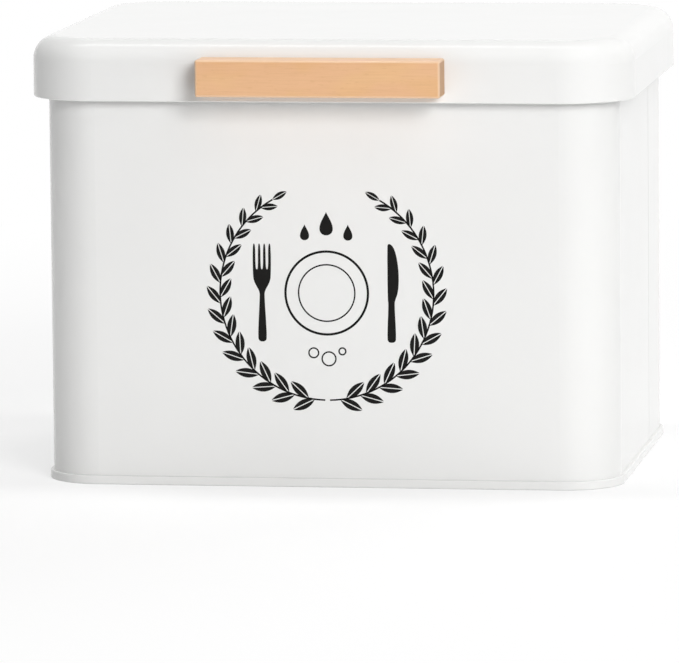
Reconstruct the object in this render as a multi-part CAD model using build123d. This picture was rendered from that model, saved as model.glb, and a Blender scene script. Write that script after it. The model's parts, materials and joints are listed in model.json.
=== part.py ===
from build123d import *
import math
import os

# White enamelled steel box with a hinged lid and a wooden bar handle.
# Millimetres and degrees. X runs to the right, -Y is the front and Z is up from the table.

# Sheet steel
sheet = 0.6                     # thickness of wall, base and lid
edge_round_share = 0.9          # a folded edge is rounded by this much of the sheet

# Lid
lid_width = 206.0
lid_depth = 165.0
lid_height = 20.8               # from the lower rim to the top
lid_corner_radius = 24.0
lid_top_radius = 8.0
lid_hem_height = 3.5            # the lower rim is folded back inside by this much
lid_overhang = 5.2              # from the body's wall to the skirt's outer face
lid_seat_gap = 0.9              # from the body's rim to the underside of the lid

# Body and base
body_height = 150.5             # table to rim
rim_hem_height = 5.0            # the rim is folded back inside by this much
seam_height = 3.0               # height of the rolled bottom seam
seam_round = 0.5                # rounding of that seam's outer edges
floor_lift = 3.2                # table to the underside of the floor
lock_seam_setback = 25.0        # the side seam lies behind the middle of the right wall
lock_seam_width = 6.0
lock_seam_floor_gap = 0.3
groove_width = 0.5              # the line that the side seam shows outside
groove_depth = 0.25

# Handle and its screws
handle_length = 83.0
handle_height = 12.5
handle_depth = 12.3
handle_edge_round = 0.8
handle_rise = 2.8               # from the lid's lower rim to the handle's underside
screw_spacing = 50.0
screw_radius = 1.75
screw_reach = 7.0               # depth in the wood
screw_tip_gap = 0.5             # the pilot hole is deeper by this much
screw_head_radius = 3.0
screw_head_height = 1.4
screw_fit = 0.02                # radial clearance in the wood
screw_slot_width = 0.8
screw_slot_depth = 0.6
washer_radius = 3.4
washer_thickness = 0.6
washer_hem_gap = 0.4            # from the hem to the washer's edge
through_clearance = 0.25        # radial clearance of a screw in a washer and in the skirt

# Hinges
hinge_spacing = 110.0
hinge_width = 26.0
middle_knuckle_width = 9.4
knuckle_gap = 0.3               # between parts that turn against each other
hinge_gap = 0.3                 # between the barrel and the skirt
leaf_thickness = 0.8
barrel_radius = 1.8
pin_radius = 0.9
pin_clearance = 0.05
pin_head_radius = 1.4
pin_head_length = 0.6
pin_end_play = 0.1
lid_leaf_height = 12.0          # above the pin
body_leaf_height = 20.0         # below the pin
leaf_corner_radius = 2.0
stop_angle = 100.0              # the lid opens this far
stop_gap = 0.3                  # left at the stop
stop_pad_margin = 1.0           # the stop pad reaches this far above the tail's touch
tail_thickness = 1.6

# Rivets
rivet_spacing = 16.0
rivet_radius = 1.2
rivet_clearance = 0.05
rivet_head_radius = 2.2
rivet_head_height = 0.8
rivet_head_round = 0.65
rivet_tail_radius = 1.8
rivet_tail_height = 0.6
body_rivet_rise = 7.0           # above the lower end of the body's leaf

# Worked-out places
edge_round = sheet * edge_round_share
body_width = lid_width - 2 * lid_overhang
body_depth = lid_depth - 2 * lid_overhang
body_corner_radius = lid_corner_radius - lid_overhang
lid_top_z = body_height + lid_seat_gap + sheet
skirt_z = lid_top_z - lid_height
lid_back_y = lid_depth / 2
body_back_y = body_depth / 2
floor_top_z = floor_lift + sheet
handle_z = skirt_z + handle_rise + handle_height / 2
screw_z = skirt_z + lid_hem_height + washer_hem_gap + washer_radius
through_radius = screw_radius + through_clearance
axis_y = lid_back_y + hinge_gap + barrel_radius
axis_z = skirt_z
bore_radius = pin_radius + pin_clearance
side_knuckle_width = (hinge_width - middle_knuckle_width) / 2 - knuckle_gap
lid_leaf_low_z = axis_z + barrel_radius + knuckle_gap
lid_rivet_z = (lid_leaf_low_z + axis_z + lid_leaf_height) / 2
body_leaf_low_z = axis_z - body_leaf_height
body_rivet_z = body_leaf_low_z + body_rivet_rise
crank_low_z = axis_z - barrel_radius
crank_top_z = crank_low_z + leaf_thickness
front_reach = lid_back_y + handle_depth
back_reach = axis_y + barrel_radius
middle_shift_y = (front_reach - back_reach) / 2     # puts the middle of the whole depth at Y = 0


def top_edges(solid):
    """Edges of the highest face."""
    return solid.faces().sort_by(Axis.Z)[-1].edges()


def bottom_edges(solid):
    """Edges of the lowest face."""
    return solid.faces().sort_by(Axis.Z)[0].edges()


def lid_block(inset, low_z, high_z):
    """Upright block with the lid's rounded outline, moved in by inset."""
    outline = RectangleRounded(lid_width - 2 * inset, lid_depth - 2 * inset, lid_corner_radius - inset)
    return Pos(0, 0, low_z) * extrude(outline, high_z - low_z)


def body_block(inset, low_z, high_z):
    """Upright block with the body's rounded outline, moved in by inset."""
    outline = RectangleRounded(body_width - 2 * inset, body_depth - 2 * inset, body_corner_radius - inset)
    return Pos(0, 0, low_z) * extrude(outline, high_z - low_z)


def span_box(low, high):
    """Box between two corners."""
    size = [top - bottom for bottom, top in zip(low, high)]
    middle = [(top + bottom) / 2 for bottom, top in zip(low, high)]
    return Pos(*middle) * Box(*size)


def rod_along_x(radius, start_x, end_x, y, z):
    """Round bar that runs along X."""
    return Pos((start_x + end_x) / 2, y, z) * Rot(0, 90, 0) * Cylinder(radius, end_x - start_x)


def rod_along_y(radius, x, start_y, end_y, z):
    """Round bar that runs along Y."""
    return Pos(x, (start_y + end_y) / 2, z) * Rot(90, 0, 0) * Cylinder(radius, end_y - start_y)


def hinge_places():
    """Side name, direction of that side and X of each hinge."""
    return [("left", -1, -hinge_spacing / 2), ("right", 1, hinge_spacing / 2)]


def rivet_places(hinge_x, direction):
    """Name and X of the two rivets in one leaf."""
    half = direction * rivet_spacing / 2
    return [("inner", hinge_x - half), ("outer", hinge_x + half)]


def screw_places():
    """Side name and X of each handle screw."""
    return [("left", -screw_spacing / 2), ("right", screw_spacing / 2)]


def rivet_holes(z, start_y, end_y):
    """Bars that cut the rivet holes of both hinges between two depths."""
    radius = rivet_radius + rivet_clearance
    bars = []
    for _, direction, hinge_x in hinge_places():
        for _, x in rivet_places(hinge_x, direction):
            bars.append(rod_along_y(radius, x, start_y, end_y, z))
    return bars


def make_body_shell():
    """Wrapped wall with a hemmed rim, a hooked foot and a lock seam down the right side."""
    wall = body_block(0, sheet, body_height)
    wall -= body_block(sheet, sheet, body_height - rim_hem_height)
    wall -= body_block(2 * sheet, body_height - rim_hem_height, body_height)
    wall = fillet(top_edges(wall), edge_round)
    hook = body_block(-sheet, sheet, seam_height - sheet) - body_block(0, sheet, seam_height - sheet)
    wall += hook
    wall_x = body_width / 2
    inner_x = wall_x - sheet
    low_y = lock_seam_setback - lock_seam_width / 2
    high_y = lock_seam_setback + lock_seam_width / 2
    fold_low = (inner_x - sheet, low_y, floor_top_z + lock_seam_floor_gap)
    wall += span_box(fold_low, (inner_x, high_y, body_height - rim_hem_height))
    groove_low = (wall_x - groove_depth, lock_seam_setback - groove_width / 2, seam_height)
    groove_high = (wall_x + groove_depth, lock_seam_setback + groove_width / 2, body_height)
    wall -= span_box(groove_low, groove_high)
    for bar in rivet_holes(body_rivet_z, body_back_y - 2 * sheet, body_back_y + sheet):
        wall -= bar
    return wall


def make_base_pan():
    """Raised floor whose rim is rolled round the hooked foot of the wall."""
    rim = body_block(-2 * sheet, 0, seam_height)
    rim = fillet(top_edges(rim) + bottom_edges(rim), seam_round)
    rim -= body_block(2 * sheet, 0, seam_height)
    channel = body_block(-sheet, sheet, seam_height - sheet)
    channel += body_block(0, seam_height - sheet, seam_height)
    rim -= channel - body_block(sheet, sheet, seam_height)
    floor = body_block(sheet, floor_lift, floor_top_z)
    neck = body_block(sheet, seam_height, floor_top_z) - body_block(2 * sheet, seam_height, floor_top_z)
    return rim + neck + floor


def make_lid_shell():
    """Drawn lid with a rounded top edge and a lower rim folded back inside."""
    outside = lid_block(0, skirt_z, lid_top_z)
    outside = fillet(top_edges(outside), lid_top_radius)
    inside = lid_block(sheet, skirt_z + lid_hem_height, lid_top_z - sheet)
    inside = fillet(top_edges(inside), lid_top_radius - sheet)
    mouth = lid_block(2 * sheet, skirt_z, skirt_z + lid_hem_height)
    shell = outside - inside - mouth
    shell = fillet(bottom_edges(shell), edge_round)
    for _, x in screw_places():
        shell -= rod_along_y(through_radius, x, -lid_back_y - sheet, -lid_back_y + 2 * sheet, screw_z)
    for bar in rivet_holes(lid_rivet_z, lid_back_y - 2 * sheet, lid_back_y + sheet):
        shell -= bar
    return shell


def make_wooden_handle():
    """Bar with eased edges and two pilot holes in its back."""
    low = (-handle_length / 2, -lid_back_y - handle_depth, handle_z - handle_height / 2)
    high = (handle_length / 2, -lid_back_y, handle_z + handle_height / 2)
    bar = span_box(low, high)
    bar = fillet(bar.edges(), handle_edge_round)
    pilot_end_y = -lid_back_y - screw_reach - screw_tip_gap
    for _, x in screw_places():
        bar -= rod_along_y(screw_radius + screw_fit, x, pilot_end_y, -lid_back_y, screw_z)
    return bar


def make_handle_washer(x):
    """Flat washer against the inside of the skirt."""
    start_y = -lid_back_y + sheet
    washer = rod_along_y(washer_radius, x, start_y, start_y + washer_thickness, screw_z)
    return washer - rod_along_y(through_radius, x, start_y, start_y + washer_thickness, screw_z)


def make_handle_screw(x):
    """Pan-head screw with a cross slot, driven from inside the skirt."""
    seat_y = -lid_back_y + sheet + washer_thickness
    crown_y = seat_y + screw_head_height
    head = rod_along_y(screw_head_radius, x, seat_y, crown_y, screw_z)
    head = fillet(head.faces().sort_by(Axis.Y)[-1].edges(), screw_head_height / 2)
    slot = (screw_head_radius, screw_slot_width / 2)
    for half_x, half_z in (slot, slot[::-1]):
        low = (x - half_x, crown_y - screw_slot_depth, screw_z - half_z)
        head -= span_box(low, (x + half_x, crown_y, screw_z + half_z))
    shank = rod_along_y(screw_radius, x, -lid_back_y - screw_reach, seat_y, screw_z)
    return head + shank


def knuckle(start_x, end_x):
    """Solid barrel of one knuckle, bored later."""
    return rod_along_x(barrel_radius, start_x, end_x, axis_y, axis_z)


def pin_bore(hinge_x):
    """Bar that bores every knuckle of one leaf."""
    half = hinge_width / 2 + knuckle_gap
    return rod_along_x(bore_radius, hinge_x - half, hinge_x + half, axis_y, axis_z)


def leaf_plate(hinge_x, inner_y, low_z, high_z):
    """Upright leaf with rounded corners, its inner face at inner_y."""
    outline = RectangleRounded(hinge_width, high_z - low_z, leaf_corner_radius)
    place = Pos(hinge_x, inner_y + leaf_thickness, (low_z + high_z) / 2)
    return place * Rot(90, 0, 0) * extrude(outline, leaf_thickness)


def tail_length():
    """Length of the stop tail from the pin, so that it meets the stop pad at the stop angle."""
    lean = math.radians(stop_angle - 90)
    reach = axis_y - (body_back_y + leaf_thickness) - stop_gap
    return (reach - tail_thickness / 2 * math.sin(lean)) / math.cos(lean)


def make_lid_hinge_leaf(hinge_x, direction):
    """Leaf on the back of the skirt, with one knuckle and a stop tail under it."""
    half = middle_knuckle_width / 2
    leaf = leaf_plate(hinge_x, lid_back_y, lid_leaf_low_z, axis_z + lid_leaf_height)
    neck_low = (hinge_x - half, lid_back_y, axis_z)
    neck_high = (hinge_x + half, lid_back_y + leaf_thickness, lid_leaf_low_z + leaf_corner_radius)
    leaf += span_box(neck_low, neck_high)
    leaf += knuckle(hinge_x - half, hinge_x + half)
    tail_low = (hinge_x - half, axis_y - tail_thickness / 2, axis_z - tail_length())
    leaf += span_box(tail_low, (hinge_x + half, axis_y + tail_thickness / 2, axis_z))
    leaf -= pin_bore(hinge_x)
    for _, x in rivet_places(hinge_x, direction):
        radius = rivet_radius + rivet_clearance
        leaf -= rod_along_y(radius, x, lid_back_y, lid_back_y + leaf_thickness, lid_rivet_z)
    return leaf


def make_body_hinge_leaf(hinge_x, direction):
    """Leaf on the back wall, cranked out under the skirt to two knuckles, with a stop pad between."""
    leaf = leaf_plate(hinge_x, body_back_y, body_leaf_low_z, crank_top_z)
    for side in (-1, 1):
        outer_x = hinge_x + side * hinge_width / 2
        inner_x = outer_x - side * side_knuckle_width
        start_x, end_x = min(outer_x, inner_x), max(outer_x, inner_x)
        square_low = (start_x, body_back_y, crank_low_z - leaf_corner_radius)
        leaf += span_box(square_low, (end_x, body_back_y + leaf_thickness, crank_top_z))
        leaf += span_box((start_x, body_back_y, crank_low_z), (end_x, axis_y, crank_top_z))
        leaf += knuckle(start_x, end_x)
    half = middle_knuckle_width / 2
    lean = math.radians(stop_angle - 90)
    touch_z = axis_z + tail_length() * math.sin(lean) + tail_thickness / 2
    pad_low = (hinge_x - half, body_back_y, crank_low_z)
    leaf += span_box(pad_low, (hinge_x + half, body_back_y + leaf_thickness, touch_z + stop_pad_margin))
    leaf -= pin_bore(hinge_x)
    for _, x in rivet_places(hinge_x, direction):
        radius = rivet_radius + rivet_clearance
        leaf -= rod_along_y(radius, x, body_back_y, body_back_y + leaf_thickness, body_rivet_z)
    return leaf


def make_hinge_pin(hinge_x):
    """Pin with a rounded head at each end."""
    end = hinge_width / 2 + pin_end_play
    pin = rod_along_x(pin_radius, hinge_x - end, hinge_x + end, axis_y, axis_z)
    for side in (-1, 1):
        start_x = hinge_x + side * end
        far_x = start_x + side * pin_head_length
        head = rod_along_x(pin_head_radius, min(start_x, far_x), max(start_x, far_x), axis_y, axis_z)
        outer_face = head.faces().sort_by(Axis.X)[-1 if side > 0 else 0]
        pin += fillet(outer_face.edges(), pin_head_length / 2)
    return pin


def make_rivet(x, wall_y, z):
    """Rivet with a domed head outside a leaf and a flattened tail inside the sheet at wall_y."""
    head_y = wall_y + leaf_thickness
    inner_y = wall_y - sheet
    head = rod_along_y(rivet_head_radius, x, head_y, head_y + rivet_head_height, z)
    head = fillet(head.faces().sort_by(Axis.Y)[-1].edges(), rivet_head_round)
    shank = rod_along_y(rivet_radius, x, inner_y, head_y, z)
    tail = rod_along_y(rivet_tail_radius, x, inner_y - rivet_tail_height, inner_y, z)
    return head + shank + tail


def make_pieces():
    """Every piece by name."""
    pieces = {
        "body_shell": make_body_shell(),
        "base_pan": make_base_pan(),
        "lid_shell": make_lid_shell(),
        "wooden_handle": make_wooden_handle(),
    }
    for side, x in screw_places():
        pieces[f"handle_screw_{side}"] = make_handle_screw(x)
        pieces[f"handle_washer_{side}"] = make_handle_washer(x)
    for side, direction, hinge_x in hinge_places():
        pieces[f"lid_hinge_leaf_{side}"] = make_lid_hinge_leaf(hinge_x, direction)
        pieces[f"body_hinge_leaf_{side}"] = make_body_hinge_leaf(hinge_x, direction)
        pieces[f"hinge_pin_{side}"] = make_hinge_pin(hinge_x)
        for place, x in rivet_places(hinge_x, direction):
            pieces[f"lid_rivet_{side}_{place}"] = make_rivet(x, lid_back_y, lid_rivet_z)
            pieces[f"body_rivet_{side}_{place}"] = make_rivet(x, body_back_y, body_rivet_z)
    return pieces


os.makedirs("parts", exist_ok=True)
for name, piece in make_pieces().items():
    export_step(Pos(0, middle_shift_y, 0) * piece, f"parts/{name}.step")
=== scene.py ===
# Looks of a white enamelled pod box with a hinged lid, a wooden bar handle and a black print.
import json
import math

import bmesh
import bpy
from bpy.props import FloatProperty, FloatVectorProperty, IntProperty, PointerProperty
from mathutils import Matrix, Vector


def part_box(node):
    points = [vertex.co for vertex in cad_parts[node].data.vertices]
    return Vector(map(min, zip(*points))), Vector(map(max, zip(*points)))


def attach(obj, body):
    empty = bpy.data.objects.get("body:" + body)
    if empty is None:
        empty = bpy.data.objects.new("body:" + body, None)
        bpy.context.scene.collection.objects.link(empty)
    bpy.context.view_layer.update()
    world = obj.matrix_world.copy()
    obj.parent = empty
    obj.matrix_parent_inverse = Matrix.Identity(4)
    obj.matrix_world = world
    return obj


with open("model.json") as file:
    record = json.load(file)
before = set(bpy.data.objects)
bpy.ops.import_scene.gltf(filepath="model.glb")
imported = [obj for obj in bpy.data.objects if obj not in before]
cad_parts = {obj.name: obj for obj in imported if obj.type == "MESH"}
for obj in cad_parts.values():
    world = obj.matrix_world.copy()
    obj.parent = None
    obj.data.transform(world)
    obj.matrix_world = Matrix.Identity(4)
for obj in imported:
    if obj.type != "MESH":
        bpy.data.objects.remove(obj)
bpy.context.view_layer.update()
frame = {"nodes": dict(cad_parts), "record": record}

bl_info = {
    "name": "Pod box looks",
    "version": (1, 0, 0),
    "blender": (4, 5, 0),
    "location": "3D View > Sidebar > Pod box",
    "description": "Finishes, printed badge and stage for an enamelled pod box",
    "category": "Object",
}

MM = 0.001
BODY = "container"
IMAGE_WIDTH = 679
SENSOR_WIDTH = 36.0
CLIP_END = 50.0
WHITE = (1.0, 1.0, 1.0, 1.0)
FRONT_WALL_Y = frame["record"]["mounts"][0]["pos_m"][1]
SLOT_OF_NODE = {part["node"]: part["material_slot"] for part in frame["record"]["subparts"]}

# Side seam: how far it lies behind the wall's middle, and how far the foot stands out from the wall
SEAM_SETBACK = 25.0 * MM
FOOT_REACH = 0.6 * MM

# Pairs of distances in metres over which a mark fades
SEAM_FADE = (0.22 * MM, 0.3 * MM)
WALL_FADE = (0.4 * MM, 0.5 * MM)
RIM_FADE = (0.2 * MM, 0.6 * MM)
EDGE_HIGHLIGHT_FADE = (0.9 * MM, 0.35 * MM)
END_FADE = (0.7 * MM, 0.1 * MM)
SHADOW_FADE = (0.18, 0.75)

# Enamel: shade of its clouds, darkness of the painted shade in the side seam's groove, spread of its haze,
# and the sheen of paint
CLOUD_SHADE = 0.988
PAINTED_SEAM_SHADE = 0.58
HAZE_SPREAD = 0.04
PAINT_SHEEN = 0.12

# Wood: how strongly each mark shows, its roughness and the relief of its grain
PATCH_SHARE = 0.7
FIBRE_SHARE = 0.3
FLECK_SHARE = 0.25
# Strength of the darker ends: their end grain, with painted shade on top
END_SHARE = 0.75
# Strength of the painted highlight along the bar's eased edges
EDGE_HIGHLIGHT_SHARE = 0.6
WOOD_ROUGHNESS = 0.25
FIBRE_ROUGHNESS = 0.12
END_ROUGHNESS = 0.3
FLECK_DIP = 0.5
GRAIN_DEPTH = 0.05 * MM

# Zinc: shade of its darkest crystals, its roughness and the depth of its scuffs
CRYSTAL_SHADE = 0.86
ZINC_ROUGHNESS = 0.28
SCUFF_ROUGHNESS = 0.22
SCUFF_DEPTH = 0.01 * MM

# Ink: shade where it lies thin, its roughness and the depth of its tooth
THIN_INK_SHADE = 1.7
INK_ROUGHNESS = 0.42
TOOTH_ROUGHNESS = 0.16
TOOTH_DEPTH = 0.004 * MM

# Marks per metre, and in the wood along, across and up the bar
CLOUD_SCALE = 16.0
HAZE_SCALE = 45.0
SCUFF_SCALE = 2600.0
DENSITY_SCALE = 420.0
TOOTH_SCALE = 5200.0
BAND_SCALE = (9.0, 120.0, 160.0)
FIBRE_SCALE = (70.0, 1500.0, 2100.0)
FLECK_SCALE = (330.0, 1400.0, 1700.0)
PATCH_SCALE = (60.0, 90.0, 110.0)

# Lamps: name, place, width and depth, and whether it shows in reflections
LAMP_AIM = (0.0, 0.0, 80.0 * MM)
LAMPS = (
    ("front", (0.891, -1.691, 0.817), 0.7, 0.7, False),
    ("corner", (0.71, -0.838, 1.161), 0.8, 0.65, True),
    ("side", (0.731, 1.119, 0.548), 0.8, 0.8, False),
    ("rear", (-1.116, 0.732, 0.596), 0.8, 0.8, False),
    ("top", (0.0, 0.02, 1.35), 1.4, 0.18, True),
)


# Node trees

class Wire:
    """A socket that takes part in Python sums, where each sum adds one Math node."""

    def __init__(self, tree, socket):
        self.tree = tree
        self.socket = socket

    def maths(self, operation, first, second=0.0):
        """The result of one Math node."""
        return self.tree.node("ShaderNodeMath", {"operation": operation}, {0: first, 1: second})

    def __add__(self, other):
        return self.maths("ADD", self, other)

    def __radd__(self, other):
        return self.maths("ADD", other, self)

    def __sub__(self, other):
        return self.maths("SUBTRACT", self, other)

    def __rsub__(self, other):
        return self.maths("SUBTRACT", other, self)

    def __mul__(self, other):
        return self.maths("MULTIPLY", self, other)

    def __rmul__(self, other):
        return self.maths("MULTIPLY", other, self)

    def __truediv__(self, other):
        return self.maths("DIVIDE", self, other)

    def __rtruediv__(self, other):
        return self.maths("DIVIDE", other, self)

    def __pow__(self, other):
        return self.maths("POWER", self, other)

    def __abs__(self):
        return self.maths("ABSOLUTE", self)

    def larger(self, other):
        """The larger of this and another value."""
        return self.maths("MAXIMUM", self, other)

    def below(self, other):
        """1 where this is less than another value, else 0."""
        return self.maths("LESS_THAN", self, other)

    def whole(self):
        """This value without its fraction."""
        return self.maths("FLOOR", self)

    def cosine(self):
        """The cosine of this angle."""
        return self.maths("COSINE", self)

    def sine(self):
        """The sine of this angle."""
        return self.maths("SINE", self)

    def between(self, low, high):
        """0 at low, 1 at high, eased in between."""
        return self.tree.node(
            "ShaderNodeMapRange",
            {"interpolation_type": "SMOOTHSTEP"},
            {"Value": self, "From Min": low, "From Max": high},
        )


class NodeTree:
    """The nodes of a material, of the world or of a Geometry Nodes group."""

    def __init__(self, tree):
        self.tree = tree

    def node(self, kind, settings=None, inputs=None, output=0):
        """One node of that type, with its settings made first and then its sockets."""
        made = self.tree.nodes.new(kind)
        for key, value in (settings or {}).items():
            setattr(made, key, value)
        for key, value in (inputs or {}).items():
            values = value if isinstance(value, list) else [value]
            for one in values:
                if isinstance(one, Wire):
                    self.tree.links.new(one.socket, made.inputs[key])
                else:
                    made.inputs[key].default_value = one
        return Wire(self, made.outputs[output]) if made.outputs else None


class Shader(NodeTree):
    """The nodes of one material or of the world."""

    def __init__(self, owner):
        owner.use_nodes = True
        super().__init__(owner.node_tree)
        self.tree.nodes.clear()

    def place(self, scale=(1.0, 1.0, 1.0)):
        """Object coordinates in metres, scaled."""
        here = self.node("ShaderNodeTexCoord", output="Object")
        return self.node("ShaderNodeMapping", inputs={"Vector": here, "Scale": scale})

    def axis(self, name):
        """One Object coordinate in metres."""
        here = self.node("ShaderNodeTexCoord", output="Object")
        return self.node("ShaderNodeSeparateXYZ", inputs={0: here}, output=name)

    def noise(self, where, scale, detail=2.0, roughness=0.5):
        """A noise value from 0 to 1."""
        inputs = {"Vector": where, "Scale": scale, "Detail": detail, "Roughness": roughness}
        return self.node("ShaderNodeTexNoise", inputs=inputs)

    def blend(self, share, first, second):
        """A colour between two colours."""
        factor, colour_a, colour_b, colour_out = 0, 6, 7, 2
        inputs = {factor: share, colour_a: first, colour_b: second}
        return self.node("ShaderNodeMix", {"data_type": "RGBA"}, inputs, colour_out)

    def bump(self, height, depth):
        """A normal that follows a height from 0 to 1 over a depth in metres."""
        return self.node("ShaderNodeBump", inputs={"Height": height, "Distance": depth, "Strength": 1.0})

    def finish(self, **sockets):
        """The surface shader and the output."""
        inputs = {}
        for key, value in sockets.items():
            label = key.replace("_", " ").title().replace("Ior", "IOR")
            inputs[label] = value
        surface = self.node("ShaderNodeBsdfPrincipled", inputs=inputs)
        self.node("ShaderNodeOutputMaterial", inputs={"Surface": surface})


class Growth(NodeTree):
    """A Geometry Nodes group with named inputs."""

    def __init__(self, name, inputs):
        super().__init__(bpy.data.node_groups.new(name, "GeometryNodeTree"))
        self.identifiers = {}
        for label, kind in inputs.items():
            socket = self.tree.interface.new_socket(label, in_out="INPUT", socket_type=kind)
            self.identifiers[label] = socket.identifier
        self.tree.interface.new_socket("Geometry", in_out="OUTPUT", socket_type="NodeSocketGeometry")
        self.given = self.tree.nodes.new("NodeGroupInput")
        self.taken = self.tree.nodes.new("NodeGroupOutput")

    def value(self, label):
        """A named input of the group."""
        return Wire(self, self.given.outputs[label])

    def join(self, *geometries):
        """Several pieces of geometry in one."""
        return self.node("GeometryNodeJoinGeometry", inputs={0: list(geometries)})

    def mirrored(self, geometry, scale):
        """A mirror image, with its faces turned outwards again."""
        turned = self.node("GeometryNodeTransform", inputs={"Geometry": geometry, "Scale": scale})
        return self.node("GeometryNodeFlipFaces", inputs={"Mesh": turned})

    def finish(self, geometry):
        """Ends the group."""
        self.tree.links.new(geometry.socket, self.taken.inputs[0])


def opaque(colour):
    """A colour with full alpha."""
    return (*colour, 1.0)


def tinted(colour, share):
    """A colour made lighter or darker by a share."""
    return opaque([channel * share for channel in colour])


def new_material(name):
    """A fresh material and its shader nodes."""
    material = bpy.data.materials.new(name)
    return material, Shader(material)


# Finishes

def painted_seam_shade_mask(shader):
    """1 in the groove of the seam down the right wall, where shade is painted, else 0."""
    low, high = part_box("body_shell")
    seam_y = (low.y + high.y) / 2 + SEAM_SETBACK
    wall_x = high.x - FOOT_REACH
    beside = abs(shader.axis("Y") - seam_y).between(*SEAM_FADE)
    away = abs(shader.axis("X") - wall_x).between(*WALL_FADE)
    above = (shader.axis("Z") - high.z).between(*RIM_FADE)
    return (1.0 - beside) * (1.0 - away) * (1.0 - above)


def enamel_finish(name, colour, settings):
    """White enamel: faint clouds of tone, orange peel, a slightly uneven gloss and painted shade in the
    side seam's groove.
    """
    material, shader = new_material(name)
    where = shader.place()
    clouds = shader.noise(where, CLOUD_SCALE)
    peel = shader.noise(where, 1.0 / settings.peel_size, detail=1.0)
    haze = shader.noise(where, HAZE_SCALE, detail=3.0, roughness=0.6)
    unshaded_enamel = shader.blend(clouds.between(0.35, 0.65), tinted(colour, CLOUD_SHADE), opaque(colour))
    shader.finish(
        # Painted shade: the enamel is made darker in the groove of the side seam
        base_color=shader.blend(painted_seam_shade_mask(shader), unshaded_enamel, tinted(colour, PAINTED_SEAM_SHADE)),
        roughness=settings.roughness + (haze - 0.5) * HAZE_SPREAD,
        normal=shader.bump(peel, settings.peel_depth),
        specular_ior_level=PAINT_SHEEN,
    )
    return material


def highlit_edge_mask(shader, low, high):
    """1 along the eased edges of the bar's front and ends, where a highlight is painted, else 0."""
    middle_z = (low.z + high.z) / 2
    to_end = (high.x - abs(shader.axis("X"))).between(*EDGE_HIGHLIGHT_FADE)
    to_front = (shader.axis("Y") - low.y).between(*EDGE_HIGHLIGHT_FADE)
    to_top = (high.z - middle_z - abs(shader.axis("Z") - middle_z)).between(*EDGE_HIGHLIGHT_FADE)
    return (to_end * to_front).larger(to_front * to_top).larger(to_end * to_top)


def beech_finish(name, settings):
    """Oiled beech with its grain along the bar: bands, patches, fibres and flecks, darker ends of end grain
    with painted shade, and a painted highlight along the eased edges.
    """
    material, shader = new_material(name)
    band_place = shader.place(BAND_SCALE)
    fibre_place = shader.place(FIBRE_SCALE)
    fleck_place = shader.place(FLECK_SCALE)
    patch_place = shader.place(PATCH_SCALE)
    bands = shader.noise(band_place, 1.0, detail=3.0, roughness=0.55).between(0.3, 0.7)
    fibres = shader.noise(fibre_place, 1.0, roughness=0.6)
    flecks = shader.noise(fleck_place, 1.0, detail=1.0).between(0.62, 0.74)
    patches = shader.noise(patch_place, 1.0).between(0.38, 0.62)
    low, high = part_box("wooden_handle")
    ends = (high.x - abs(shader.axis("X"))).between(*END_FADE)
    edges = highlit_edge_mask(shader, low, high)
    banded = shader.blend(bands, opaque(settings.pale), opaque(settings.deep))
    ground = shader.blend(patches * PATCH_SHARE, banded, opaque(settings.rosy))
    grained = shader.blend(fibres.between(0.35, 0.8) * FIBRE_SHARE, ground, opaque(settings.fleck))
    flecked = shader.blend(flecks * FLECK_SHARE, grained, opaque(settings.fleck))
    # The ends are darker: end grain, with painted shade on top
    darkened_ends = shader.blend(ends * END_SHARE, flecked, opaque(settings.end_grain_and_shade))
    shader.finish(
        # Painted highlight: the bar's eased edges are made lighter
        base_color=shader.blend(edges * EDGE_HIGHLIGHT_SHARE, darkened_ends, opaque(settings.edge_highlight_colour)),
        roughness=WOOD_ROUGHNESS + fibres * FIBRE_ROUGHNESS + ends * END_ROUGHNESS,
        normal=shader.bump(fibres - flecks * FLECK_DIP, GRAIN_DEPTH),
    )
    return material


def zinc_finish(name, settings):
    """Zinc plate: a soft spangle and fine scuffs."""
    material, shader = new_material(name)
    where = shader.place()
    cells = {"Vector": where, "Scale": 1.0 / settings.spangle_size}
    spangle = shader.node("ShaderNodeTexVoronoi", inputs=cells, output="Color")
    tone = shader.node("ShaderNodeSeparateColor", inputs={0: spangle})
    scuffs = shader.noise(where, SCUFF_SCALE, detail=3.0, roughness=0.65)
    shader.finish(
        base_color=shader.blend(tone, tinted(settings.metal, CRYSTAL_SHADE), opaque(settings.metal)),
        metallic=1.0,
        roughness=ZINC_ROUGHNESS + scuffs * SCUFF_ROUGHNESS,
        normal=shader.bump(scuffs, SCUFF_DEPTH),
    )
    return material


def ink_finish(name, settings):
    """Black screen ink: dense, a little uneven in tone and gloss."""
    material, shader = new_material(name)
    where = shader.place()
    density = shader.noise(where, DENSITY_SCALE, detail=3.0, roughness=0.6)
    tooth = shader.noise(where, TOOTH_SCALE, detail=1.0)
    shader.finish(
        base_color=shader.blend(density, opaque(settings.ink), tinted(settings.ink, THIN_INK_SHADE)),
        roughness=INK_ROUGHNESS + tooth * TOOTH_ROUGHNESS,
        normal=shader.bump(tooth, TOOTH_DEPTH),
        specular_ior_level=PAINT_SHEEN,
    )
    return material


def dress(slot, material):
    """Gives a finish to every part of the box that has that slot."""
    nodes = [node for node, slot_name in SLOT_OF_NODE.items() if slot_name == slot]
    if not nodes:
        raise RuntimeError(f"no part has the slot {slot}")
    for node in nodes:
        frame["nodes"][node].material_slots[0].material = material


# Printed badge

def new_piece(name, mesh, material):
    """An object at the origin that moves with the box."""
    piece = bpy.data.objects.new(name, mesh)
    bpy.context.scene.collection.objects.link(piece)
    if material.name not in mesh.materials:
        mesh.materials.append(material)
    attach(piece, BODY)


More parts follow.
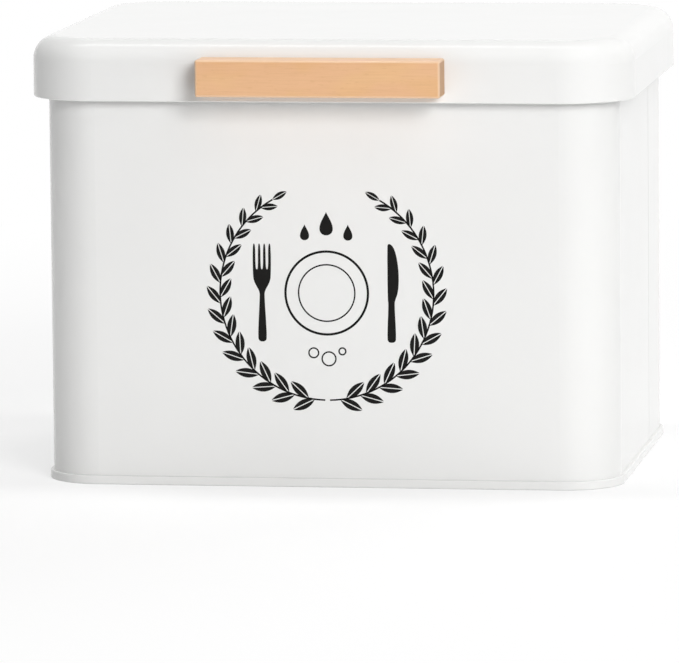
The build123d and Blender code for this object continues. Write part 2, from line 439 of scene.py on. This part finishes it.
WREATH_INPUTS = {
    "Wreath Radius": "NodeSocketFloat",
    "Leaf Pairs": "NodeSocketInt",
    "Leaf Length": "NodeSocketFloat",
    "Leaf Width": "NodeSocketFloat",
    "Vein Width": "NodeSocketFloat",
    "Leaf Splay": "NodeSocketFloat",
    "Stem Width": "NodeSocketFloat",
    "Ink Thickness": "NodeSocketFloat",
    "Start Angle": "NodeSocketFloat",
    "Sweep Angle": "NodeSocketFloat",
    "Centre": "NodeSocketVector",
    "Ink": "NodeSocketMaterial",
}

# Sprig: the stem's start before its leaves in radians, how much smaller the last leaf is, and the
# share of a step by which one leaf of a pair follows the other
STEM_LEAD = 0.1
LEAF_TAPER = 0.32
LEAF_STAGGER = 0.3
LEAF_CORNERS = 24
STEM_STEPS = 48
MERGE_DISTANCE = 0.002 * MM


def half_leaf(growth):
    """Half a pointed leaf along X, with the vein's edge straight, as a closed slip of ink."""
    unit_circle = {"Vertices": LEAF_CORNERS, "Radius": 1.0}
    rim = growth.node("GeometryNodeMeshCircle", {"fill_type": "NGON"}, unit_circle)
    spot = growth.node("GeometryNodeInputPosition")
    x = growth.node("ShaderNodeSeparateXYZ", inputs={0: spot}, output=0)
    y = growth.node("ShaderNodeSeparateXYZ", inputs={0: spot}, output=1)
    bulge = y.larger(0.0)
    along = (x * 0.5 + 0.5) * growth.value("Leaf Length")
    across = bulge * bulge * growth.value("Leaf Width") * 0.5 + growth.value("Vein Width") * 0.5
    shaped = growth.node("ShaderNodeCombineXYZ", inputs={0: along, 1: across})
    flat = growth.node("GeometryNodeSetPosition", inputs={"Geometry": rim, "Position": shaped})
    raised = growth.node(
        "GeometryNodeExtrudeMesh",
        {"mode": "FACES"},
        {"Mesh": flat, "Offset Scale": growth.value("Ink Thickness"), "Individual": False},
    )
    back = growth.node("GeometryNodeFlipFaces", inputs={"Mesh": flat})
    both = growth.join(raised, back)
    return growth.node("GeometryNodeMergeByDistance", inputs={"Geometry": both, "Distance": MERGE_DISTANCE})


def sprig_leaves(growth, leaf):
    """Pairs of leaves along an arc that grow smaller upwards, with one leaf at the tip."""
    pairs = growth.value("Leaf Pairs")
    index = growth.node("GeometryNodeInputIndex")
    pair = (index / 2.0).whole()
    side = index - pair * 2.0
    paired = index.below(pairs * 2.0)
    share = (pair + side * LEAF_STAGGER) / pairs
    angle = growth.value("Start Angle") + share * growth.value("Sweep Angle")
    radius = growth.value("Wreath Radius")
    along_x = angle.cosine() * radius
    along_y = angle.sine() * radius
    spot = growth.node("ShaderNodeCombineXYZ", inputs={0: along_x, 1: along_y})
    points = growth.node("GeometryNodePoints", inputs={"Count": pairs * 2.0 + 1.0, "Position": spot})
    splay = (side * 2.0 - 1.0) * paired * growth.value("Leaf Splay")
    heading = angle + math.pi / 2 + splay
    turn = growth.node("ShaderNodeCombineXYZ", inputs={2: heading})
    size = 1.0 - share * share * LEAF_TAPER
    scale = growth.node("ShaderNodeCombineXYZ", inputs={0: size, 1: size, 2: 1.0})
    leaves = growth.node(
        "GeometryNodeInstanceOnPoints",
        inputs={"Points": points, "Instance": leaf, "Rotation": turn, "Scale": scale},
    )
    return growth.node("GeometryNodeRealizeInstances", inputs={0: leaves})


def sprig_stem(growth):
    """The thin stem along the same arc."""
    arc = growth.node(
        "GeometryNodeCurveArc",
        inputs={
            "Resolution": STEM_STEPS,
            "Radius": growth.value("Wreath Radius"),
            "Start Angle": growth.value("Start Angle") - STEM_LEAD,
            "Sweep Angle": growth.value("Sweep Angle") + STEM_LEAD,
        },
    )
    upright = growth.node("GeometryNodeSetCurveNormal", {"mode": "Z_UP"}, {"Curve": arc})
    strip = growth.node(
        "GeometryNodeCurvePrimitiveQuadrilateral",
        inputs={0: growth.value("Stem Width"), 1: growth.value("Ink Thickness")},
    )
    stem = growth.node(
        "GeometryNodeCurveToMesh", inputs={"Curve": upright, "Profile Curve": strip, "Fill Caps": True}
    )
    lift = growth.node("ShaderNodeCombineXYZ", inputs={2: growth.value("Ink Thickness") * 0.5})
    return growth.node("GeometryNodeTransform", inputs={"Geometry": stem, "Translation": lift})


def wreath_growth():
    """Two leafy sprigs that rise from the foot of the badge, one the mirror of the other."""
    growth = Growth("leaf_wreath", WREATH_INPUTS)
    half = half_leaf(growth)
    leaf = growth.join(half, growth.mirrored(half, (1.0, -1.0, 1.0)))
    sprig = growth.join(sprig_leaves(growth, leaf), sprig_stem(growth))
    both = growth.join(sprig, growth.mirrored(sprig, (-1.0, 1.0, 1.0)))
    upright = (math.pi / 2, 0.0, 0.0)
    standing = growth.node(
        "GeometryNodeTransform",
        inputs={"Geometry": both, "Translation": growth.value("Centre"), "Rotation": upright},
    )
    real = growth.node("GeometryNodeRealizeInstances", inputs={0: standing})
    ink = growth.value("Ink")
    inked = growth.node("GeometryNodeSetMaterial", inputs={"Geometry": real, "Material": ink})
    growth.finish(inked)
    return growth


def grown_mesh(growth, values, name):
    """The plain mesh that a Geometry Nodes group makes from these values."""
    seedling = bpy.data.objects.new(name + "_seedling", bpy.data.meshes.new(name + "_seedling"))
    bpy.context.scene.collection.objects.link(seedling)
    modifier = seedling.modifiers.new("grow", "NODES")
    modifier.node_group = growth.tree
    for label, value in values.items():
        modifier[growth.identifiers[label]] = value
    graph = bpy.context.evaluated_depsgraph_get()
    mesh = bpy.data.meshes.new_from_object(seedling.evaluated_get(graph), depsgraph=graph)
    seedling.modifiers.remove(modifier)
    bpy.data.objects.remove(seedling)
    mesh.name = name
    if not mesh.polygons:
        raise RuntimeError(f"{name} came out empty")
    return mesh


class InkSheet:
    """Closed slips of ink on the front wall, from outlines in millimetres about the badge's middle."""

    def __init__(self, centre_height, thickness):
        self.bm = bmesh.new()
        self.centre_height = centre_height
        self.back_y = FRONT_WALL_Y + thickness
        self.front_y = FRONT_WALL_Y - thickness

    def rim(self, outline, y):
        """The corners of an outline at one depth."""
        return [self.bm.verts.new((x * MM, y, z * MM + self.centre_height)) for x, z in outline]

    def slip(self, outline):
        """A slip with that outline, which runs counter-clockwise as seen from the front."""
        front = self.rim(outline, self.front_y)
        back = self.rim(outline, self.back_y)
        self.bm.faces.new(front)
        self.bm.faces.new(back[::-1])
        self.wall(front, back)

    def wall(self, front, back):
        """The narrow side faces between two rims."""
        for here in range(len(front)):
            after = (here + 1) % len(front)
            self.bm.faces.new((front[here], back[here], back[after], front[after]))

    def band(self, outer, inner):
        """A closed band between two outlines with the same number of corners."""
        rims = [self.rim(outline, y) for outline in (outer, inner) for y in (self.front_y, self.back_y)]
        outer_front, outer_back, inner_front, inner_back = rims
        self.wall(outer_front, outer_back)
        self.wall(inner_back, inner_front)
        self.wall(inner_front, outer_front)
        self.wall(outer_back, inner_back)

    def mesh(self, name):
        """The finished mesh, with every face outwards."""
        bmesh.ops.recalc_face_normals(self.bm, faces=self.bm.faces)
        made = bpy.data.meshes.new(name)
        self.bm.to_mesh(made)
        self.bm.free()
        return made


def circle(radius, middle=(0.0, 0.0), steps=72):
    """A circle's outline."""
    angles = [2 * math.pi * step / steps for step in range(steps)]
    return [(middle[0] + radius * math.cos(a), middle[1] + radius * math.sin(a)) for a in angles]


def drop(width, height, middle, steps=40):
    """A falling drop's outline, its tip up."""
    outline = []
    for step in range(steps):
        turn = 2 * math.pi * (1 - step / steps)
        x = width * DROP_SPREAD * math.sin(turn) * abs(math.sin(turn / 2)) ** DROP_POINT
        outline.append((middle[0] + x, middle[1] + height / 2 * math.cos(turn)))
    return outline


def eased(outline, rounds=2):
    """An outline with its corners cut again and again, so that they come out rounded."""
    for _ in range(rounds):
        cut = []
        for here, (x, z) in enumerate(outline):
            next_x, next_z = outline[(here + 1) % len(outline)]
            for share in CORNER_CUTS:
                cut.append(((1 - share) * x + share * next_x, (1 - share) * z + share * next_z))
        outline = cut
    return outline


def moved(outline, x, z):
    """An outline shifted to a new place."""
    return [(px + x, pz + z) for px, pz in outline]


# Outlines of the cutlery, and the places and sizes of the other motifs, in millimetres
FORK_HALF = [
    (1.2, 0.3), (1.55, 2.2), (0.8, 15.5), (0.9, 17.5), (2.7, 20.5), (3.1, 23.0), (3.1, 32.6),
    (2.65, 34.0), (2.2, 32.6), (2.2, 25.6), (1.75, 24.6), (1.3, 25.6), (1.3, 32.6),
    (0.88, 34.0), (0.45, 32.6), (0.45, 25.6), (0.0, 24.6),
]
KNIFE = [
    (-1.2, 0.3), (1.2, 0.3), (1.55, 2.2), (1.0, 13.6), (1.3, 14.8), (2.3, 17.5), (2.6, 22.0), (2.3, 27.0),
    (1.4, 31.5), (0.2, 33.6), (-1.2, 34.0), (-1.3, 32.0), (-1.3, 14.8), (-1.0, 13.6), (-1.55, 2.2),
]
CUTLERY_GAP = 7.6
CUTLERY_FOOT = -17.0
PLATE_RIM_LINE = 0.8
PLATE_WELL_LINE = 0.5
DROPS = ((0.0, 23.6, 5.0, 8.0), (-7.4, 20.6, 3.4, 5.4), (7.4, 20.6, 3.4, 5.4))
BUBBLES = ((-4.6, -20.4, 1.9), (0.6, -22.4, 2.6), (5.2, -19.8, 1.4))
BUBBLE_LINE = 0.5

# The well as a share of the plate, the form of a drop, a bubble's corners, and where an edge is cut
PLATE_WELL = 0.68
DROP_SPREAD = 0.65
DROP_POINT = 1.5
BUBBLE_STEPS = 36
CORNER_CUTS = (0.25, 0.75)


def fork_outline():
    """A table fork, its four tines up."""
    left = [(-x, z) for x, z in reversed(FORK_HALF[:-1])]
    return eased(FORK_HALF + left)


# Stage

def camera_matrix(settings):
    """Where the camera stands and how it is turned."""
    yaw, pitch, roll = settings.yaw, settings.pitch, settings.roll
    back = Vector((math.sin(yaw) * math.cos(pitch), -math.cos(yaw) * math.cos(pitch), math.sin(pitch)))
    level = Vector((math.cos(yaw), math.sin(yaw), 0.0))
    raised = back.cross(level)
    right = level * math.cos(roll) + raised * math.sin(roll)
    up = raised * math.cos(roll) - level * math.sin(roll)
    eye = Vector(settings.target) + back * settings.distance
    turned = Matrix((right, up, back)).transposed().to_4x4()
    return Matrix.Translation(eye) @ turned


def add_camera(settings):
    """The scene's camera."""
    data = bpy.data.cameras.new("camera")
    data.sensor_width = SENSOR_WIDTH
    data.lens = settings.focal_pixels / IMAGE_WIDTH * SENSOR_WIDTH
    data.clip_end = CLIP_END
    camera = bpy.data.objects.new("camera", data)
    bpy.context.scene.collection.objects.link(camera)
    camera.matrix_world = camera_matrix(settings)
    bpy.context.scene.camera = camera


def soft_lamp(name, place, width, depth, power, in_reflections):
    """A large soft lamp that points at the box and that the camera doesn't see."""
    light = bpy.data.lights.new(name, "AREA")
    light.shape = "RECTANGLE"
    light.size = width
    light.size_y = depth
    light.energy = power
    lamp = bpy.data.objects.new(name, light)
    bpy.context.scene.collection.objects.link(lamp)
    lamp.location = place
    lamp.rotation_euler = (Vector(LAMP_AIM) - Vector(place)).to_track_quat("-Z", "Y").to_euler()
    lamp.visible_camera = False
    lamp.visible_glossy = in_reflections


def seen_directly(shader):
    """1 for what the camera sees, straight or in a polished or clear surface."""
    total = None
    for ray in ("Is Camera Ray", "Is Glossy Ray", "Is Transmission Ray"):
        found = shader.node("ShaderNodeLightPath", output=ray)
        total = found if total is None else total.larger(found)
    return total


def floor_finish(settings):
    """A plain pale floor that looks white where nothing shades it."""
    material, shader = new_material("pale_floor")
    paint = shader.node("ShaderNodeBsdfDiffuse", inputs={"Color": opaque(settings.floor_colour)})
    dim = shader.node("ShaderNodeBsdfDiffuse", inputs={"Color": tinted(WHITE[:3], settings.floor_shade)})
    glow = shader.node("ShaderNodeEmission", inputs={"Strength": settings.floor_glow})
    near = shader.node("ShaderNodeAddShader", inputs={0: dim, 1: glow})
    white = shader.node("ShaderNodeEmission", inputs={"Strength": 1.0})
    far = (shader.axis("X") ** 2.0 + shader.axis("Y") ** 2.0) ** 0.5
    pale = shader.node("ShaderNodeMixShader", inputs={0: far.between(*SHADOW_FADE), 1: near, 2: white})
    surface = shader.node("ShaderNodeMixShader", inputs={0: seen_directly(shader), 1: paint, 2: pale})
    shader.node("ShaderNodeOutputMaterial", inputs={"Surface": surface})
    return material


def light_world(settings):
    """Even light from all round, and a white background."""
    world = bpy.data.worlds.new("studio")
    bpy.context.scene.world = world
    shader = Shader(world)
    fill = shader.node("ShaderNodeBackground", inputs={"Color": WHITE, "Strength": settings.fill})
    white = shader.node("ShaderNodeBackground", inputs={"Color": WHITE, "Strength": 1.0})
    surface = shader.node("ShaderNodeMixShader", inputs={0: seen_directly(shader), 1: fill, 2: white})
    shader.node("ShaderNodeOutputWorld", inputs={"Surface": surface})


# Settings

def colour_setting(name, description, default):
    """A colour."""
    return FloatVectorProperty(name=name, description=description, subtype="COLOR", default=default)


def length_setting(name, description, default):
    """A length in metres."""
    return FloatProperty(name=name, description=description, unit="LENGTH", default=default, precision=6)


def angle_setting(name, description, degrees):
    """An angle, given in degrees."""
    return FloatProperty(name=name, description=description, subtype="ANGLE", default=math.radians(degrees))


def share_setting(name, description, default):
    """A share from 0 to 1."""
    return FloatProperty(
        name=name, description=description, subtype="FACTOR", min=0.0, max=1.0, default=default
    )


def power_setting(name, description, default):
    """A lamp's power in watts."""
    return FloatProperty(name=name, description=description, unit="POWER", default=default)


class PodEnamelSettings(bpy.types.PropertyGroup):
    """The white enamel."""

    white: colour_setting("White", "Enamel of the box and its lid", (0.86, 0.86, 0.85))
    fittings_white: colour_setting("Fittings white", "Enamel of the hinges", (0.84, 0.84, 0.83))
    roughness: share_setting("Roughness", "How matt the enamel is", 0.12)
    peel_size: length_setting("Peel size", "Width of the orange peel", 1.4 * MM)
    peel_depth: length_setting("Peel depth", "Depth of the orange peel", 0.004 * MM)


class PodBeechSettings(bpy.types.PropertyGroup):
    """The wood of the bar handle."""

    pale: colour_setting("Pale wood", "Light bands of the grain", (0.83, 0.505, 0.26))
    deep: colour_setting("Deep wood", "Darker bands of the grain", (0.80, 0.459, 0.226))
    rosy: colour_setting("Rosy wood", "Pinker patches", (0.82, 0.479, 0.27))
    # Painted highlight along the bar's eased edges
    edge_highlight_colour: colour_setting("Rubbed edges", "Sanded edges", (0.88, 0.65, 0.46))
    fleck: colour_setting("Flecks", "Fibres and short flecks", (0.66, 0.36, 0.175))
    # Colour of the ends: end grain, darkened further by painted shade
    end_grain_and_shade: colour_setting("End grain", "The sawn ends", (0.42, 0.25, 0.142))


class PodZincSettings(bpy.types.PropertyGroup):
    """The zinc of the fasteners."""

    metal: colour_setting("Zinc", "Screws, washers and pins", (0.62, 0.62, 0.63))
    spangle_size: length_setting("Spangle", "Size of the zinc's crystals", 0.7 * MM)


class PodPrintSettings(bpy.types.PropertyGroup):
    """The black print on the front."""

    ink: colour_setting("Ink", "Colour of the print", (0.006, 0.0057, 0.0054))
    centre_height: length_setting("Height", "Height of the badge's middle", 66.2 * MM)
    ink_thickness: length_setting("Ink thickness", "How far the ink stands proud", 0.03 * MM)
    wreath_radius: length_setting("Wreath", "Radius of the wreath's stems", 36.5 * MM)
    leaf_pairs: IntProperty(
        name="Leaf pairs", description="Pairs of leaves on one sprig", min=3, default=13
    )
    leaf_length: length_setting("Leaf length", "Length of the largest leaf", 8.2 * MM)
    leaf_width: length_setting("Leaf width", "Width of the largest leaf", 3.0 * MM)
    vein_width: length_setting("Vein", "White line along a leaf", 0.3 * MM)
    leaf_splay: angle_setting("Splay", "Angle of a leaf to its stem", 33.0)
    stem_width: length_setting("Stem", "Width of the stems", 0.55 * MM)
    sprig_gap: angle_setting("Top gap", "Angle left open at the top", 30.0)
    foot_gap: angle_setting("Foot gap", "Angle left open at the foot", 7.0)
    plate_radius: length_setting("Plate", "Radius of the drawn plate", 14.5 * MM)


class PodStageSettings(bpy.types.PropertyGroup):
    """Camera, light and floor."""

    yaw: angle_setting("Yaw", "Camera's turn to the right", 8.797)
    pitch: angle_setting("Pitch", "Camera's look downwards", 7.260)
    roll: angle_setting("Roll", "Camera's tilt", -0.509)
    distance: length_setting("Distance", "From the camera to its target", 2.6075)
    focal_pixels: FloatProperty(
        name="Focal length", description="In pixels of the image", subtype="PIXEL", default=7484.6
    )
    target: FloatVectorProperty(
        name="Target",
        description="Point in the image's middle",
        subtype="TRANSLATION",
        default=(-7.7 * MM, 4.2 * MM, 43.19 * MM),
        precision=5,
    )
    fill: FloatProperty(name="Fill", description="Light from all round", min=0.0, default=0.11)
    front_power: power_setting("Front lamp", "Lamp at the front right", 22.4)
    corner_power: power_setting("Corner lamp", "Lamp high at the right", 2.2)
    side_power: power_setting("Side lamp", "Lamp at the right rear", 8.6)
    rear_power: power_setting("Rear lamp", "Lamp at the left rear", 4.0)
    top_power: power_setting("Top lamp", "Lamp overhead", 8.3)
    floor_size: length_setting("Floor", "Width of the floor", 14.0)
    floor_colour: colour_setting("Floor colour", "Floor as it lights the box", (0.95, 0.95, 0.95))
    floor_shade: share_setting("Floor shade", "Share of the floor's look that takes shadows", 0.4)
    floor_glow: share_setting("Floor glow", "Share that stays white", 0.6)


# Operators

class POD_OT_enamel_shells(bpy.types.Operator):
    """Enamels the wall, the floor and the lid"""

    bl_idname = "pod.enamel_shells"
    bl_label = "Enamel shells"

    def execute(self, context):
        settings = context.scene.pod_enamel
        dress("white_enamel", enamel_finish("satin_white_enamel", settings.white, settings))
        return {"FINISHED"}


class POD_OT_enamel_fittings(bpy.types.Operator):
    """Enamels the hinge leaves and their rivets"""

    bl_idname = "pod.enamel_fittings"
    bl_label = "Enamel fittings"

    def execute(self, context):
        settings = context.scene.pod_enamel
        dress("white_enamel_fittings", enamel_finish("fittings_enamel", settings.fittings_white, settings))
        return {"FINISHED"}


class POD_OT_wooden_bar(bpy.types.Operator):
    """Gives the bar handle its beech grain"""

    bl_idname = "pod.wooden_bar"
    bl_label = "Wooden bar"

    def execute(self, context):
        dress("beech", beech_finish("oiled_beech", context.scene.pod_beech))
        return {"FINISHED"}


class POD_OT_zinc_fasteners(bpy.types.Operator):
    """Plates the screws, washers and hinge pins"""

    bl_idname = "pod.zinc_fasteners"
    bl_label = "Zinc fasteners"

    def execute(self, context):
        dress("zinc_steel", zinc_finish("zinc_plate", context.scene.pod_zinc))
        return {"FINISHED"}


class POD_OT_printed_wreath(bpy.types.Operator):
    """Prints the two leafy sprigs"""

    bl_idname = "pod.printed_wreath"
    bl_label = "Printed wreath"

    def execute(self, context):
        settings = context.scene.pod_print
        ink = ink_finish("black_ink", settings)
        values = {
            "Wreath Radius": settings.wreath_radius,
            "Leaf Pairs": settings.leaf_pairs,
            "Leaf Length": settings.leaf_length,
            "Leaf Width": settings.leaf_width,
            "Vein Width": settings.vein_width,
            "Leaf Splay": settings.leaf_splay,
            "Stem Width": settings.stem_width,
            "Ink Thickness": settings.ink_thickness * 2,
            "Start Angle": -math.pi / 2 + settings.foot_gap,
            "Sweep Angle": math.pi - settings.foot_gap - settings.sprig_gap,
            "Centre": (0.0, FRONT_WALL_Y + settings.ink_thickness, settings.centre_height),
            "Ink": ink,
        }
        mesh = grown_mesh(wreath_growth(), values, "printed_wreath")
        new_piece("printed_wreath", mesh, ink)
        return {"FINISHED"}


class POD_OT_printed_place_setting(bpy.types.Operator):
    """Prints the plate, the fork, the knife, the drops and the bubbles"""

    bl_idname = "pod.printed_place_setting"
    bl_label = "Printed place setting"

    def execute(self, context):
        settings = context.scene.pod_print
        sheet = InkSheet(settings.centre_height, settings.ink_thickness)
        rim = settings.plate_radius / MM
        for radius, line in ((rim, PLATE_RIM_LINE), (rim * PLATE_WELL, PLATE_WELL_LINE)):
            sheet.band(circle(radius), circle(radius - line))
        beside_plate = rim + CUTLERY_GAP
        sheet.slip(moved(fork_outline(), -beside_plate, CUTLERY_FOOT))
        sheet.slip(moved(eased(KNIFE), beside_plate, CUTLERY_FOOT))
        for x, z, width, height in DROPS:
            sheet.slip(drop(width, height, (x, z)))
        for x, z, radius in BUBBLES:
            outer = circle(radius, (x, z), BUBBLE_STEPS)
            sheet.band(outer, circle(radius - BUBBLE_LINE, (x, z), BUBBLE_STEPS))
        mesh = sheet.mesh("printed_place_setting")
        new_piece("printed_place_setting", mesh, bpy.data.materials["black_ink"])
        return {"FINISHED"}


class POD_OT_stage(bpy.types.Operator):
    """Sets the camera, the lamps, the floor and the background"""

    bl_idname = "pod.stage"
    bl_label = "Stage"

    def execute(self, context):
        settings = context.scene.pod_stage
        scene = context.scene
        scene.view_settings.view_transform = "Standard"
        add_camera(settings)
        for name, place, width, depth, in_reflections in LAMPS:
            power = getattr(settings, f"{name}_power")
            soft_lamp(f"{name}_lamp", place, width, depth, power, in_reflections)
        light_world(settings)
        half = settings.floor_size / 2
        corners = [(-half, -half, 0.0), (half, -half, 0.0), (half, half, 0.0), (-half, half, 0.0)]
        mesh = bpy.data.meshes.new("floor")
        mesh.from_pydata(corners, [], [(0, 1, 2, 3)])
        mesh.materials.append(floor_finish(settings))
        floor = bpy.data.objects.new("floor", mesh)
        scene.collection.objects.link(floor)
        return {"FINISHED"}


OPERATORS = (
    POD_OT_enamel_shells,
    POD_OT_enamel_fittings,
    POD_OT_wooden_bar,
    POD_OT_zinc_fasteners,
    POD_OT_printed_wreath,
    POD_OT_printed_place_setting,
    POD_OT_stage,
)
SETTINGS = {
    "pod_enamel": PodEnamelSettings,
    "pod_beech": PodBeechSettings,
    "pod_zinc": PodZincSettings,
    "pod_print": PodPrintSettings,
    "pod_stage": PodStageSettings,
}


class POD_PT_box(bpy.types.Panel):
    """Lists the steps that dress the pod box"""

    bl_idname = "POD_PT_box"
    bl_label = "Pod box"
    bl_space_type = "VIEW_3D"
    bl_region_type = "UI"
    bl_category = "Pod box"

    def draw(self, context):
        for operator in OPERATORS:
            self.layout.operator(operator.bl_idname)
        for name in SETTINGS:
            group = getattr(context.scene, name)
            for key in group.__annotations__:
                self.layout.prop(group, key)


CLASSES = (*SETTINGS.values(), *OPERATORS, POD_PT_box)


def register():
    """Adds the settings, the operators and the panel to Blender."""
    for made in CLASSES:
        bpy.utils.register_class(made)
    for name, group in SETTINGS.items():
        setattr(bpy.types.Scene, name, PointerProperty(type=group))


def unregister():
    """Takes them out again."""
    for name in SETTINGS:
        delattr(bpy.types.Scene, name)
    for made in reversed(CLASSES):
        bpy.utils.unregister_class(made)


def main():
    """Dresses the box."""
    register()
    bpy.ops.pod.enamel_shells()
    bpy.ops.pod.enamel_fittings()
    bpy.ops.pod.wooden_bar()
    bpy.ops.pod.zinc_fasteners()
    bpy.ops.pod.printed_wreath()
    bpy.ops.pod.printed_place_setting()
    bpy.ops.pod.stage()


if __name__ == "__main__":
    main()
